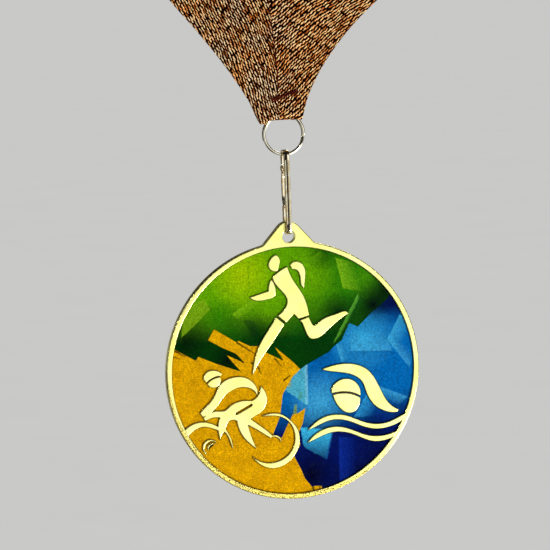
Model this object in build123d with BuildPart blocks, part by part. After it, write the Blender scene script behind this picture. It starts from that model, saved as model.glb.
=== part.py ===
from build123d import *
from math import atan2, cos, degrees, radians, sin, tan
import os

# A sports finisher medal on its neck ribbon, hanging as it is worn.
# Millimetres. +X is the wearer's left, -Y is the way the medal faces, +Z is up.
# The origin is the middle of the ribbon at the nape of the neck, where the wearer carries it.

# Medal casting
DISC_R = 35.0
DISC_T = 2.2
RIM_W = 1.4
EDGE_ROUND = 0.25
FIELD_DEPTH = 0.9
FIGURE_GAP = 0.05
ENAMEL_T = 0.4
BACK_R = 31.0
BACK_DEPTH = 0.3
HOLE_H = 36.4
HOLE_D = 3.5
EAR_APEX_H = 42.4
EAR_TOP_R = 3.7
EAR_FOOT_X = 7.4
EAR_FOOT_H = 34.0
EAR_BASE_R = 2.0

# Split ring: one full turn of wire, with half a turn more behind it
RING_H = 63.9
RING_R = 5.42
WIRE_D = 0.85
COIL_PITCH = 0.83
SECOND_TURN_FROM = -5.0
SECOND_TURN_ARC = 202.0

# Snap clip, bent from narrow strip
CLIP_W = 1.6
CLIP_T = 0.65
CLIP_GAP = 3.0
CLIP_BEND_R = 0.8
CLIP_SLACK = 0.15
CLIP_BOTTOM_H = 37.6
GROOVE_W = 0.7
GROOVE_D = 0.2
NOSE_H = 44.4
PIVOT_H = 54.6
STUB_H = 53.85
LUG_R = 0.75
GATE_T = 0.4
GATE_W = 1.5
KNUCKLE_W = 0.7
KNUCKLE_SLOT_W = 0.8
RIVET_D = 0.6
RIVET_HEAD_D = 1.0
RIVET_HEAD_T = 0.15
RUNNING = 0.05

# Ribbon
RIBBON_W = 25.0
RIBBON_T = 0.8
ARM_ANGLE = 34.4
ARM_L = 150.0
FOLD_BOTTOM_H = 67.3
FOLD_BOTTOM_W = 11.8
CREASE_H = 73.0
CREASE_GAP = 0.15
SHOULDER_R = 35.0
NAPE_HALF_DEPTH = 100.0
NAPE_LEAN = 20.0
SHOULDER_STEPS = 4
NAPE_STEPS = 7
THREAD_T = 0.2

# The arm's line up the chest, seen from the front, starts from the fold's outer bottom corner
ARM_X = sin(radians(ARM_ANGLE))
ARM_Z = cos(radians(ARM_ANGLE))
ARM_START_X = FOLD_BOTTOM_W / 2 - RIBBON_W / 2 * ARM_Z
ARM_START_H = FOLD_BOTTOM_H + RIBBON_W / 2 * ARM_X
ARM_END_X = ARM_START_X + ARM_L * ARM_X
ARM_END_H = ARM_START_H + ARM_L * ARM_Z
LOOP_HALF_W = ARM_END_X + SHOULDER_R * ARM_X
LOOP_H = ARM_END_H + SHOULDER_R * ARM_Z
CROTCH_H = ARM_START_H + RIBBON_W / 2 * ARM_X - (ARM_START_X - RIBBON_W / 2 * ARM_Z) / tan(radians(ARM_ANGLE))

# Everything that hangs is placed by its height above the middle of the disc
DISC_Z = -LOOP_H
HANG_Y = -(SHOULDER_R + NAPE_HALF_DEPTH)


def front_plane(forward):
    """The plane that faces the viewer, that far in front of the medal's middle plane."""
    return Plane(origin=(0, HANG_Y - forward, DISC_Z), x_dir=(1, 0, 0), z_dir=(0, -1, 0))


def side_plane(x):
    """The plane seen from the wearer's left, with Y to the right and height up."""
    return Plane(origin=(x, HANG_Y, DISC_Z), x_dir=(0, 1, 0), z_dir=(1, 0, 0))


def silhouette(*runs):
    """A face whose outline is smooth along each run of points and has a corner where runs meet."""
    with BuildLine(mode=Mode.PRIVATE) as outline:
        for run in runs:
            if len(run) == 2:
                Line(*run)
            else:
                Spline(*run)
    make_face(outline.edges())


def oval(*points):
    """A face inside one closed smooth curve."""
    with BuildLine(mode=Mode.PRIVATE) as outline:
        Spline(*points, periodic=True)
    make_face(outline.edges())


def patch(*points):
    """A face with straight sides, added to the sketch in hand."""
    with BuildLine(mode=Mode.PRIVATE) as outline:
        Polyline(*points, close=True)
    make_face(outline.edges())


def crescent(x, y, radius, thickness, heading, half_arc):
    """A thin new moon about (x, y), thickest where heading points, with its tips half_arc away."""

    def spot(turn, reach):
        return (x + reach * cos(radians(heading + turn)), y + reach * sin(radians(heading + turn)))

    with BuildLine(mode=Mode.PRIVATE) as outline:
        ThreePointArc(spot(-half_arc, radius), spot(0, radius), spot(half_arc, radius))
        ThreePointArc(spot(-half_arc, radius), spot(0, radius - thickness), spot(half_arc, radius))
    make_face(outline.edges())


FIELD_FLOOR = DISC_T / 2 - FIELD_DEPTH
FIELD_R = DISC_R - RIM_W

# --- Artwork: flat athlete figures, drawn from the middle of the disc ---------------------------

with BuildSketch(front_plane(FIELD_FLOOR)) as runner:
    oval((-4.1, 27.2), (-5.8, 28.6), (-5.4, 30.3), (-3.5, 31.5), (-2.7, 30.1), (-3.1, 28.4))
    silhouette(
        [(-0.7, 28.3), (-2.9, 27.2), (-4.9, 25.7)],
        [(-4.9, 25.7), (-4.4, 24.2), (-2.1, 21.3), (-1.0, 19.1), (-1.7, 17.1), (-3.9, 15.2)],
        [(-3.9, 15.2), (-1.6, 13.2)],
        [(-1.6, 13.2), (0.6, 15.4)],
        [(0.6, 15.4), (1.9, 14.0)],
        [(1.9, 14.0), (4.8, 14.8)],
        [(4.8, 14.8), (4.4, 17.2), (3.3, 20.4), (1.1, 24.0), (-0.2, 26.6), (-0.7, 28.3)],
    )
    silhouette(
        [(0.1, 28.7), (1.0, 29.4), (2.5, 29.4), (3.8, 28.2), (4.2, 26.0), (3.6, 22.2)],
        [(3.6, 22.2), (3.0, 23.1), (2.8, 25.3), (2.0, 27.1), (0.6, 27.5)],
        [(0.6, 27.5), (0.1, 28.7)],
    )
    silhouette(
        [(-5.3, 25.1), (-5.9, 23.7), (-6.1, 22.0)],
        [(-6.1, 22.0), (-8.8, 21.3), (-11.4, 20.6)],
        [(-11.4, 20.6), (-10.6, 20.0), (-6.4, 19.8), (-4.5, 20.6), (-4.2, 22.6), (-5.3, 25.1)],
    )
    silhouette(
        [(-4.3, 14.8), (-6.8, 11.2), (-9.1, 7.7), (-10.9, 2.8), (-11.4, -0.4)],
        [(-11.4, -0.4), (-8.7, 4.0), (-5.4, 8.3), (-2.1, 12.8)],
        [(-2.1, 12.8), (-4.3, 14.8)],
    )
    silhouette(
        [(2.1, 13.5), (3.9, 10.0), (5.1, 8.4), (6.3, 8.3), (9.8, 10.4), (13.1, 13.0), (15.7, 14.5)],
        [(15.7, 14.5), (15.2, 15.1), (13.0, 14.8), (9.4, 13.8), (6.9, 12.2)],
        [(6.9, 12.2), (6.1, 11.9), (5.4, 12.6), (4.7, 14.3)],
        [(4.7, 14.3), (2.1, 13.5)],
    )

with BuildSketch(front_plane(FIELD_FLOOR)) as swimmer:
    silhouette(
        [(7.8, -0.2), (11.3, 0.7), (15.0, 0.9), (18.2, 0.2), (20.3, -1.0), (21.8, -2.6), (23.0, -4.7),
         (24.2, -7.3), (25.5, -9.8), (27.0, -11.5), (28.8, -12.6)],
        [(28.8, -12.6), (28.5, -13.3)],
        [(28.5, -13.3), (26.4, -13.2), (24.4, -12.5), (22.4, -11.2), (20.7, -8.9), (19.8, -6.6),
         (18.9, -4.3), (16.4, -2.3), (12.8, -1.3), (7.8, -0.2)],
    )
    silhouette(
        [(10.3, -6.9), (10.7, -5.0), (12.2, -3.7), (14.3, -3.2), (16.7, -4.0), (18.0, -5.7), (18.2, -8.1)],
        [(18.2, -8.1), (15.9, -7.0), (13.1, -6.6), (10.3, -6.9)],
    )
    silhouette(
        [(10.6, -7.4), (13.1, -7.1), (15.8, -7.5), (18.2, -8.7)],
        [(18.2, -8.7), (17.9, -10.5), (16.9, -12.0), (15.2, -12.6), (13.2, -11.8), (11.6, -9.9), (10.6, -7.4)],
    )

with BuildSketch(front_plane(FIELD_FLOOR)) as waves:
    silhouette(
        [(3.3, -16.5), (5.4, -14.6), (7.8, -13.3), (10.8, -12.8), (13.9, -13.2), (16.8, -14.4),
         (19.7, -15.6), (22.9, -16.2), (25.8, -15.9), (28.5, -14.9), (31.5, -13.5)],
        [(31.5, -13.5), (30.8, -15.1)],
        [(30.8, -15.1), (27.8, -16.6), (24.8, -17.4), (21.7, -17.4), (18.6, -16.5), (15.5, -15.1),
         (12.3, -14.2), (9.1, -14.3), (6.4, -15.2), (3.3, -16.5)],
    )
    silhouette(
        [(3.1, -19.9), (5.2, -17.9), (7.7, -16.6), (10.9, -16.1), (14.1, -16.7), (16.9, -17.9),
         (19.6, -19.0), (22.2, -19.5), (25.6, -19.3), (29.4, -17.8)],
        [(29.4, -17.8), (28.3, -19.5)],
        [(28.3, -19.5), (25.0, -20.7), (22.1, -20.9), (19.0, -20.0), (15.9, -18.5), (12.7, -17.6),
         (9.5, -17.6), (6.3, -18.6), (3.1, -19.9)],
    )

with BuildSketch(front_plane(FIELD_FLOOR)) as cyclist:
    silhouette(
        [(-24.9, -0.7), (-24.6, 0.6), (-23.6, 1.4), (-22.2, 1.6), (-20.9, 1.3), (-19.9, 0.5)],
        [(-19.9, 0.5), (-20.2, 0.0)],
        [(-20.2, 0.0), (-21.6, -0.1), (-23.0, -0.6), (-24.3, -1.5)],
        [(-24.3, -1.5), (-24.9, -0.7)],
    )
    silhouette(
        [(-24.0, -2.0), (-22.8, -1.0), (-21.5, -0.5), (-20.3, -0.4)],
        [(-20.3, -0.4), (-20.4, -1.8), (-21.2, -2.8), (-22.4, -3.1), (-23.4, -2.7), (-24.0, -2.0)],
    )
    silhouette(
        [(-26.3, -9.8), (-24.6, -8.1), (-23.0, -6.6), (-21.9, -4.9), (-20.8, -2.9), (-19.5, -1.6),
         (-17.8, -0.9), (-15.5, -0.6), (-13.4, -1.0), (-11.8, -2.0), (-10.7, -3.4), (-10.4, -5.9)],
        [(-10.4, -5.9), (-12.2, -4.0), (-14.1, -3.5), (-16.1, -3.7), (-18.2, -4.6), (-19.6, -5.8),
         (-20.7, -7.2), (-22.0, -8.7), (-23.6, -9.9), (-25.5, -10.8)],
        [(-25.5, -10.8), (-26.3, -9.8)],
    )
    silhouette(
        [(-9.4, -3.5), (-8.1, -5.3), (-7.7, -7.3), (-8.2, -9.0), (-9.4, -10.5), (-11.0, -11.4), (-12.5, -12.2)],
        [(-12.5, -12.2), (-10.3, -14.0), (-8.4, -15.5), (-6.6, -17.3)],
        [(-6.6, -17.3), (-7.1, -17.9)],
        [(-7.1, -17.9), (-9.4, -16.3), (-11.6, -14.8), (-13.3, -13.8)],
        [(-13.3, -13.8), (-12.9, -15.5), (-12.2, -17.8), (-11.1, -20.5)],
        [(-11.1, -20.5), (-13.4, -18.5), (-15.0, -16.4), (-15.9, -14.2), (-16.2, -12.5)],
        [(-16.2, -12.5), (-17.2, -12.2), (-18.3, -12.3)],
        [(-18.3, -12.3), (-19.0, -13.2), (-19.5, -14.5)],
        [(-19.5, -14.5), (-18.7, -15.8), (-18.0, -17.5), (-17.6, -20.0)],
        [(-17.6, -20.0), (-18.4, -17.7), (-19.1, -16.1), (-19.9, -15.2)],
        [(-19.9, -15.2), (-20.5, -15.9), (-21.0, -17.6)],
        [(-21.0, -17.6), (-21.4, -15.4), (-21.4, -13.2), (-20.8, -11.3)],
        [(-20.8, -11.3), (-22.8, -11.2), (-25.0, -11.9)],
        [(-25.0, -11.9), (-25.4, -11.1)],
        [(-25.4, -11.1), (-24.1, -10.1), (-22.0, -9.5), (-19.4, -9.5), (-17.9, -8.4), (-16.3, -7.6),
         (-14.2, -7.2), (-12.0, -7.4)],
        [(-12.0, -7.4), (-10.6, -6.6), (-9.7, -5.4), (-9.4, -3.5)],
    )
    silhouette(
        [(-31.1, -14.6), (-28.8, -12.8), (-26.3, -12.2), (-24.0, -12.5), (-20.8, -14.3)],
        [(-20.8, -14.3), (-21.3, -14.9)],
        [(-21.3, -14.9), (-23.8, -13.8), (-26.1, -13.5), (-28.0, -14.2), (-30.4, -16.4)],
        [(-30.4, -16.4), (-31.1, -14.6)],
    )
    silhouette(
        [(-9.3, -11.8), (-6.6, -11.2), (-4.0, -11.6), (-1.5, -13.4), (0.4, -16.0), (0.9, -18.6),
         (0.3, -21.3), (-1.4, -23.9), (-4.0, -25.6), (-6.7, -26.2), (-9.6, -25.3), (-12.4, -22.5)],
        [(-12.4, -22.5), (-10.2, -24.1), (-7.7, -24.7), (-4.8, -24.3), (-2.4, -22.9), (-0.8, -20.6),
         (-0.3, -18.1), (-0.7, -15.8), (-2.0, -13.7), (-4.1, -12.3), (-6.6, -11.8), (-9.3, -11.8)],
    )
    crescent(-23.8, -19.2, 2.1, 0.55, 135, 105)
    crescent(-23.4, -19.3, 1.2, 0.4, 130, 85)
    crescent(-6.0, -18.9, 1.75, 0.5, 65, 75)
    with Locations((-14.2, -9.5)):
        SlotOverall(5.2, 0.7, rotation=degrees(atan2(2.2, 4.4)), mode=Mode.SUBTRACT)

figure_sketches = [runner, swimmer, waves, cyclist]

# --- Colour fields: brushed edges where amber and blue cross the green --------------------------

with BuildSketch(front_plane(FIELD_FLOOR)) as amber_area:
    patch(
        (-36, 9.5), (-32.6, 8.0), (-30.0, 6.4), (-26.8, 4.5), (-26.0, 5.5), (-21.5, 3.4), (-14.4, 0.6),
        (-17.0, 3.8), (-18.2, 5.4), (-13.3, 2.9), (-15.6, 5.6), (-19.2, 7.4), (-23.2, 9.8), (-21.4, 12.6),
        (-15.4, 8.7), (-14.9, 9.1), (-11.7, 7.4), (-8.5, 7.2), (-7.8, 5.6), (-2.8, 2.9), (-4.9, 6.7),
        (-0.2, 2.5), (1.9, 0.2), (-0.3, -1.7), (-3.2, -6.2), (-4.2, -12.3), (-6.3, -16.9), (-3.9, -18.1),
        (-2.4, -15.0), (-0.7, -12.0), (0.9, -11.7), (2.9, -10.5), (2.1, -14.3), (0.8, -17.1), (1.1, -20.4),
        (-0.7, -23.4), (1.1, -27.2), (2.0, -29.6), (3.8, -32.0), (6.5, -32.0), (8.5, -36), (-36, -36),
    )

with BuildSketch(front_plane(FIELD_FLOOR)) as warm_area:
    patch(
        (-36, 9.5), (-36, 36), (36, 36), (36, 26), (29.2, 20.3), (26.7, 17.6), (22.0, 14.0), (18.4, 10.7),
        (16.0, 11.8), (13.7, 7.3), (11.5, 5.8), (10.1, 4.4), (3.5, 1.2), (1.9, 0.2), (-8.0, 0.2), (-36, 0.2),
    )


def field_sketch(keep, cut):
    """The recessed field inside keep, less cut and less every figure."""
    with BuildSketch(front_plane(FIELD_FLOOR), mode=Mode.PRIVATE) as field:
        Circle(FIELD_R)
        for area in keep:
            add(area.sketch_local, mode=Mode.INTERSECT)
        for area in cut + figure_sketches:
            add(area.sketch_local, mode=Mode.SUBTRACT)
    return field.sketch


# --- Medal casting ------------------------------------------------------------------------------

with BuildPart() as medal_body:
    with BuildSketch(front_plane(-DISC_T / 2)) as blank:
        Circle(DISC_R)
        patch((-EAR_FOOT_X, EAR_FOOT_H), (0, EAR_APEX_H), (EAR_FOOT_X, EAR_FOOT_H))
        fillet(blank.vertices().sort_by(Axis.Y)[-1], EAR_TOP_R)
        ear_base = blank.vertices().filter_by_position(Axis.Y, 30, 36)
        fillet(ear_base, EAR_BASE_R)
    extrude(amount=DISC_T)
    front_edges = medal_body.faces().sort_by(Axis.Y)[0].outer_wire().edges()
    fillet(front_edges, EDGE_ROUND)
    with BuildSketch(front_plane(DISC_T / 2)):
        with Locations((0, HOLE_H)):
            Circle(HOLE_D / 2)
    extrude(amount=-DISC_T, mode=Mode.SUBTRACT)
    with BuildSketch(front_plane(DISC_T / 2)):
        Circle(FIELD_R)
    extrude(amount=-FIELD_DEPTH, mode=Mode.SUBTRACT)
    with BuildSketch(front_plane(-DISC_T / 2)):
        Circle(BACK_R)
    extrude(amount=BACK_DEPTH, mode=Mode.SUBTRACT)
    for figure in figure_sketches:
        extrude(figure.sketch, amount=FIELD_DEPTH - FIGURE_GAP)
medal_body.part.label = "medal_body"

# --- Enamel fills -------------------------------------------------------------------------------

with BuildPart() as enamel_amber:
    extrude(field_sketch([amber_area], []), amount=ENAMEL_T)
enamel_amber.part.label = "enamel_amber"

with BuildPart() as enamel_green:
    extrude(field_sketch([warm_area], [amber_area]), amount=ENAMEL_T)
enamel_green.part.label = "enamel_green"

with BuildPart() as enamel_blue:
    extrude(field_sketch([], [warm_area, amber_area]), amount=ENAMEL_T)
enamel_blue.part.label = "enamel_blue"

# --- Split ring ---------------------------------------------------------------------------------

with BuildPart() as split_ring:
    with BuildSketch(side_plane(0)):
        with Locations((0, RING_H + RING_R)):
            Circle(WIRE_D / 2)
    revolve(axis=Axis((0, HANG_Y, DISC_Z + RING_H), (0, 1, 0)), revolution_arc=360)
    start = Plane(
        origin=(0, HANG_Y + COIL_PITCH, DISC_Z + RING_H),
        x_dir=(cos(radians(SECOND_TURN_FROM)), 0, sin(radians(SECOND_TURN_FROM))),
        z_dir=(sin(radians(SECOND_TURN_FROM)), 0, -cos(radians(SECOND_TURN_FROM))),
    )
    with BuildSketch(start):
        with Locations((RING_R, 0)):
            Circle(WIRE_D / 2)
    revolve(
        axis=Axis((0, HANG_Y, DISC_Z + RING_H), (0, -1, 0)),
        revolution_arc=SECOND_TURN_ARC,
    )
split_ring.part.label = "split_ring"

# --- Snap clip ----------------------------------------------------------------------------------

CLIP_TOP_H = RING_H - RING_R + WIRE_D / 2 + CLIP_SLACK
CLIP_MID_H = (CLIP_TOP_H + CLIP_BOTTOM_H) / 2
CLIP_INNER_L = CLIP_TOP_H - CLIP_BOTTOM_H
LEG_Y = CLIP_GAP / 2 + CLIP_T / 2
PIVOT_Y = LEG_Y - 0.05

with BuildPart() as clip_body:
    with BuildSketch(side_plane(-CLIP_W / 2)):
        with Locations((0, CLIP_MID_H)):
            RectangleRounded(CLIP_GAP + 2 * CLIP_T, CLIP_INNER_L + 2 * CLIP_T, CLIP_BEND_R + CLIP_T)
            RectangleRounded(CLIP_GAP, CLIP_INNER_L, CLIP_BEND_R, mode=Mode.SUBTRACT)
        with Locations((LEG_Y, (NOSE_H + STUB_H) / 2)):
            Rectangle(2 * CLIP_T, STUB_H - NOSE_H, mode=Mode.SUBTRACT)
        with Locations((PIVOT_Y, PIVOT_H)):
            Circle(LUG_R)
    extrude(amount=CLIP_W)
    with BuildSketch(side_plane(-KNUCKLE_SLOT_W / 2)):
        with Locations((PIVOT_Y, PIVOT_H)):
            Circle(LUG_R + 0.3)
    extrude(amount=KNUCKLE_SLOT_W, mode=Mode.SUBTRACT)
    with BuildSketch(side_plane(-CLIP_W / 2)):
        with Locations((PIVOT_Y, PIVOT_H)):
            Circle(RIVET_D / 2)
    extrude(amount=CLIP_W, mode=Mode.SUBTRACT)
    with BuildSketch(front_plane(CLIP_GAP / 2 + CLIP_T)):
        with Locations((0, CLIP_MID_H)):
            SlotOverall(CLIP_INNER_L - CLIP_GAP - 1, GROOVE_W, rotation=90)
    extrude(amount=-GROOVE_D, mode=Mode.SUBTRACT)
clip_body.part.label = "clip_body"

with BuildPart() as clip_gate:
    with BuildSketch(side_plane(-GATE_W / 2)):
        with BuildLine():
            leaf = Spline(
                (PIVOT_Y, PIVOT_H - LUG_R - 0.25), (PIVOT_Y + 0.4, 51.5), (PIVOT_Y + 0.5, 49.0),
                (PIVOT_Y + 0.3, 46.6), (PIVOT_Y - 0.3, 45.2), (PIVOT_Y - 0.65, 43.9),
            )
        trace(leaf, GATE_T)
    extrude(amount=GATE_W)
    with BuildSketch(side_plane(-KNUCKLE_W / 2)):
        with Locations((PIVOT_Y, PIVOT_H)):
            Circle(LUG_R - 0.05)
        with Locations((PIVOT_Y, PIVOT_H - LUG_R)):
            Rectangle(GATE_T, LUG_R + 0.5)
        with Locations((PIVOT_Y, PIVOT_H)):
            Circle(RIVET_D / 2 + RUNNING, mode=Mode.SUBTRACT)
    extrude(amount=KNUCKLE_W)
clip_gate.part.label = "clip_gate"

with BuildPart() as clip_rivet:
    with BuildSketch(side_plane(-CLIP_W / 2)):
        with Locations((PIVOT_Y, PIVOT_H)):
            Circle(RIVET_D / 2)
    extrude(amount=CLIP_W)
    for head_plane in (side_plane(CLIP_W / 2), side_plane(-CLIP_W / 2 - RIVET_HEAD_T)):
        with BuildSketch(head_plane):
            with Locations((PIVOT_Y, PIVOT_H)):
                Circle(RIVET_HEAD_D / 2)
        extrude(amount=RIVET_HEAD_T)
clip_rivet.part.label = "clip_rivet"

# --- Ribbon: the V on the chest, over the shoulders and round the nape ---------------------------


def arm_half_w(height):
    """How far the V's outer edge stands from its middle line at a height."""
    return FOLD_BOTTOM_W / 2 + (height - FOLD_BOTTOM_H) * tan(radians(ARM_ANGLE))


def strip_plane(centre, along, normal):
    """The plane across the ribbon at one place on its route."""
    along = Vector(*along).normalized()
    normal = Vector(*normal).normalized()
    return Plane(origin=centre, x_dir=along.cross(normal), z_dir=along)


def shoulder_plane(turn):
    """Across the ribbon where it bends back over the shoulder, turn degrees into the bend."""
    rise = SHOULDER_R * sin(radians(turn))
    back = SHOULDER_R * (1 - cos(radians(turn)))
    centre = (ARM_END_X + rise * ARM_X, HANG_Y + back, DISC_Z + ARM_END_H + rise * ARM_Z)
    ahead = cos(radians(turn))
    behind = sin(radians(turn))
    along = (ahead * ARM_X, behind, ahead * ARM_Z)
    normal = (behind * ARM_X, -ahead, behind * ARM_Z)
    return strip_plane(centre, along, normal)


def nape_plane(turn):
    """Across the ribbon where it goes round the neck, turn degrees from the shoulder to the nape."""
    side = cos(radians(turn))
    back = sin(radians(turn))
    centre = (LOOP_HALF_W * side, HANG_Y + SHOULDER_R + NAPE_HALF_DEPTH * back, 0)
    along = Vector(-LOOP_HALF_W * back, NAPE_HALF_DEPTH * side, 0)
    outward = Vector(NAPE_HALF_DEPTH * side, LOOP_HALF_W * back, 0).normalized()
    lean = radians((90 - ARM_ANGLE) * (1 - back) + NAPE_LEAN * back)
    normal = outward * cos(lean) + Vector(0, 0, sin(lean))
    return strip_plane(centre, (along.X, along.Y, along.Z), (normal.X, normal.Y, normal.Z))


shoulder_turns = [90 * step / SHOULDER_STEPS for step in range(SHOULDER_STEPS)]
nape_turns = [90 * step / NAPE_STEPS for step in range(NAPE_STEPS + 1)]
strip_planes = [shoulder_plane(turn) for turn in shoulder_turns] + [nape_plane(turn) for turn in nape_turns]

with BuildPart() as neck_ribbon:
    for strip in strip_planes:
        with BuildSketch(strip):
            Rectangle(RIBBON_W, RIBBON_T)
    loft(ruled=True)
    mirror(about=Plane.YZ)
    with BuildSketch(front_plane(-RIBBON_T / 2)):
        across = RIBBON_W / 2
        foot_h = CREASE_H + CREASE_GAP
        outer = (ARM_END_X + across * ARM_Z, ARM_END_H - across * ARM_X)
        inner = (ARM_END_X - across * ARM_Z, ARM_END_H + across * ARM_X)
        patch(
            (arm_half_w(foot_h), foot_h), outer, inner, (0, CROTCH_H), (-inner[0], inner[1]),
            (-outer[0], outer[1]), (-arm_half_w(foot_h), foot_h),
        )
    extrude(amount=RIBBON_T)
neck_ribbon.part.label = "neck_ribbon"

# The gathered end wraps the ring's top: it fills the ring's opening below the wire, and closes above it
FOLD_WALL = 0.6
FOLD_CLEAR = 0.22
FOLD_FRONT = WIRE_D / 2 + FOLD_CLEAR
FOLD_BACK = COIL_PITCH + WIRE_D / 2 + FOLD_CLEAR
FOLD_MID = (FOLD_BACK - FOLD_FRONT) / 2
FOLD_THICK = FOLD_BACK + FOLD_FRONT + 2 * FOLD_WALL
FOLD_ROUND_H = FOLD_BOTTOM_H + 1.0
FOLD_TAPER_H = 71.0
FOLD_INSIDE_R = RING_R - WIRE_D / 2 - FOLD_CLEAR
FOLD_OUTSIDE_R = RING_R + WIRE_D / 2 + FOLD_CLEAR

with BuildPart() as ribbon_fold:
    top_h = CREASE_H - CREASE_GAP
    with BuildSketch(front_plane(RIBBON_W)):
        patch(
            (-arm_half_w(FOLD_BOTTOM_H), FOLD_BOTTOM_H), (arm_half_w(FOLD_BOTTOM_H), FOLD_BOTTOM_H),
            (arm_half_w(top_h), top_h), (-arm_half_w(top_h), top_h),
        )
    extrude(amount=-2 * RIBBON_W)
    with BuildSketch(side_plane(-RIBBON_W)):
        with BuildLine():
            front_y = -FOLD_FRONT - FOLD_WALL
            back_y = FOLD_BACK + FOLD_WALL
            Polyline((back_y, FOLD_ROUND_H), (back_y, FOLD_TAPER_H), (RIBBON_T / 2, top_h),
                     (-RIBBON_T / 2, top_h), (front_y, FOLD_TAPER_H), (front_y, FOLD_ROUND_H))
            ThreePointArc((front_y, FOLD_ROUND_H), (FOLD_MID, FOLD_BOTTOM_H), (back_y, FOLD_ROUND_H))
        make_face()
    extrude(amount=2 * RIBBON_W, mode=Mode.INTERSECT)
    with BuildSketch(front_plane(FOLD_FRONT)):
        with Locations((0, RING_H)):
            Circle(FOLD_OUTSIDE_R)
            Circle(FOLD_INSIDE_R, mode=Mode.SUBTRACT)
    extrude(amount=-(FOLD_FRONT + FOLD_BACK), mode=Mode.SUBTRACT)
ribbon_fold.part.label = "ribbon_fold"

# --- Stitching ----------------------------------------------------------------------------------

BAR_TACK_W = 7.0
BAR_TACK_H = 1.2
BAR_TACK_AT = (0.6, CREASE_H + 1.6)
BAR_TACK_SLOPE = 12.0
SEAM_W = 0.6
SEAM_FOOT = (-1.0, CREASE_H + 2.6)
SEAM_TOP = (-2.2, CROTCH_H - 5.0)

with BuildPart() as bar_tack:
    with BuildSketch(front_plane(RIBBON_T / 2)):
        with Locations(BAR_TACK_AT):
            Rectangle(BAR_TACK_W, BAR_TACK_H, rotation=BAR_TACK_SLOPE)
    extrude(amount=THREAD_T)
bar_tack.part.label = "bar_tack"

with BuildPart() as seam_thread:
    with BuildSketch(front_plane(RIBBON_T / 2)):
        half = SEAM_W / 2
        patch(
            (SEAM_FOOT[0] - half, SEAM_FOOT[1]), (SEAM_FOOT[0] + half, SEAM_FOOT[1]),
            (SEAM_TOP[0] + half, SEAM_TOP[1]), (SEAM_TOP[0] - half, SEAM_TOP[1]),
        )
    extrude(amount=THREAD_T)
seam_thread.part.label = "seam_thread"

# --- Files --------------------------------------------------------------------------------------

os.makedirs("parts", exist_ok=True)
export_step(medal_body.part, "parts/medal_body.step")
export_step(enamel_green.part, "parts/enamel_green.step")
export_step(enamel_amber.part, "parts/enamel_amber.step")
export_step(enamel_blue.part, "parts/enamel_blue.step")
export_step(split_ring.part, "parts/split_ring.step")
export_step(clip_body.part, "parts/clip_body.step")
export_step(clip_gate.part, "parts/clip_gate.step")
export_step(clip_rivet.part, "parts/clip_rivet.step")
export_step(neck_ribbon.part, "parts/neck_ribbon.step")
export_step(ribbon_fold.part, "parts/ribbon_fold.step")
export_step(bar_tack.part, "parts/bar_tack.step")
export_step(seam_thread.part, "parts/seam_thread.step")
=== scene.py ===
from math import cos, hypot, pi, radians, sin, tan

import bmesh
import bpy
from mathutils import Matrix, Vector


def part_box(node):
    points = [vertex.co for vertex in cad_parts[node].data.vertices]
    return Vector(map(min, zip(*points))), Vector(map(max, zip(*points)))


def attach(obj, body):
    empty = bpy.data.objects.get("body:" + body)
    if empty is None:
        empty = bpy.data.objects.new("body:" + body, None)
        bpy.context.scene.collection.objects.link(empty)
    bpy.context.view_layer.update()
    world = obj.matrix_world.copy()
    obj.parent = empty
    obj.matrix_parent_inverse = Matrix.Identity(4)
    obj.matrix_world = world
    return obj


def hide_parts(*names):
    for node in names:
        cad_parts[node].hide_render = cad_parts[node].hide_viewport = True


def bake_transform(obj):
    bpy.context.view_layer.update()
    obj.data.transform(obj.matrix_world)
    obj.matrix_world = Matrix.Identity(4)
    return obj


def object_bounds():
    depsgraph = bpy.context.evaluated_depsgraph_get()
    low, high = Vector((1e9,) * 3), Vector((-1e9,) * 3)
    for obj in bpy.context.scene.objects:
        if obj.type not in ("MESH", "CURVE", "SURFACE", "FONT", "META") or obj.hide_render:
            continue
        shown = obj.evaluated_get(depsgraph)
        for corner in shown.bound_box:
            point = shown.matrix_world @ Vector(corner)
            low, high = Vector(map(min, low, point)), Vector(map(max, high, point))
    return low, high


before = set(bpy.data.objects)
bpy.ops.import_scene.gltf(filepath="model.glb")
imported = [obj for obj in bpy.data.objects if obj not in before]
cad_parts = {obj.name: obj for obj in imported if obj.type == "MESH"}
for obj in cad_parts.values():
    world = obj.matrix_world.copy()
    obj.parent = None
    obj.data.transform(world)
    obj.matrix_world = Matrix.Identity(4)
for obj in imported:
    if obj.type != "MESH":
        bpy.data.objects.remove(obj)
cad_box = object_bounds()

# Lengths are in millimetres until a point is placed, which at() does in metres.
MM = 0.001

# --- Places read from the frame -----------------------------------------------------------------

medal_low, medal_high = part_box("medal_body")
DISC_R = (medal_high.x - medal_low.x) / 2 / MM
DISC_T = (medal_high.y - medal_low.y) / MM
DISC_Z = medal_low.z / MM + DISC_R
HANG_Y = (medal_low.y + medal_high.y) / 2 / MM


def at(x, height, back=0.0):
    """A point in metres: x, height above the disc's middle, and how far behind the medal's middle."""
    return Vector((x * MM, (HANG_Y + back) * MM, (DISC_Z + height) * MM))


def height_of(z):
    return z / MM - DISC_Z


def ease(value, start, end):
    """0 before start, 1 after end and a smooth rise between them."""
    share = min(max((value - start) / (end - start), 0.0), 1.0)
    return share * share * (3 - 2 * share)


# --- Camera: a long lens, a little to the medal's left and above it ------------------------------

CAMERA_AZIMUTH = -13.0
CAMERA_ELEVATION = 6.4
CAMERA_ROLL = 2.24
LENS = 220.0
SENSOR = 36.0
VIEW_WIDTH = 148.35
VIEW_SHIFT = (-5.1, 25.8)


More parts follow.
